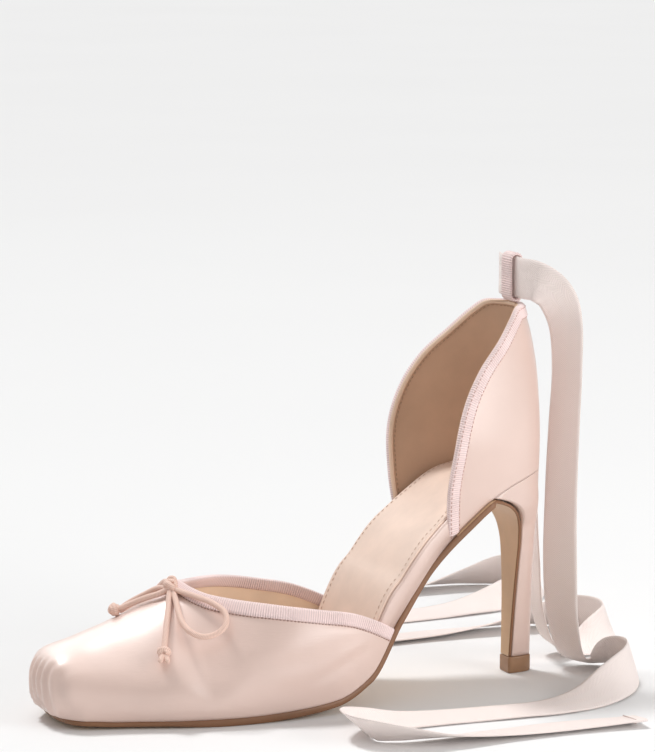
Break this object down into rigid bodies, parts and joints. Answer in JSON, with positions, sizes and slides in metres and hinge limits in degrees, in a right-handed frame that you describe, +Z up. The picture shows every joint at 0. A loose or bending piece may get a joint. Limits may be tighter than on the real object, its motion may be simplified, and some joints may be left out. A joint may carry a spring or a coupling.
{
  "type": "ballet heel shoe",
  "caption": "Square-toed satin ballet heel with open sides, a tall heel counter, a covered stiletto, a cord bow and ankle ribbons laid down loose.",
  "frame": {"origin": "middle of the shoe's length and width on the floor, ankle ties and bow left out", "axes": "+X from toe to heel, +Y to the inner side of the left foot, +Z up"},
  "size_m": [0.2806, 0.2618, 0.1687],
  "materials": {
    "satin": "satin",
    "grosgrain": "matte",
    "twill_ribbon": "matte",
    "bow_cord": "matte",
    "sole_leather": "satin",
    "lift_rubber": "matte",
    "sock_suede": "matte"
  },
  "bodies": {
    "root": {"outsole": "sole_leather", "heel": "satin", "top_lift": "lift_rubber", "insole_board": "satin", "insole_sock": "sock_suede", "vamp": "satin", "vamp_binding": "grosgrain", "counter": "satin", "counter_binding": "grosgrain", "heel_loop": "grosgrain", "bow_knot": "bow_cord", "bow_loop_outer": "bow_cord", "bow_loop_inner": "bow_cord", "bow_end_outer": "bow_cord", "bow_end_inner": "bow_cord", "ankle_tie_outer": "twill_ribbon", "ankle_tie_inner": "twill_ribbon"}
  },
  "joints": []
}
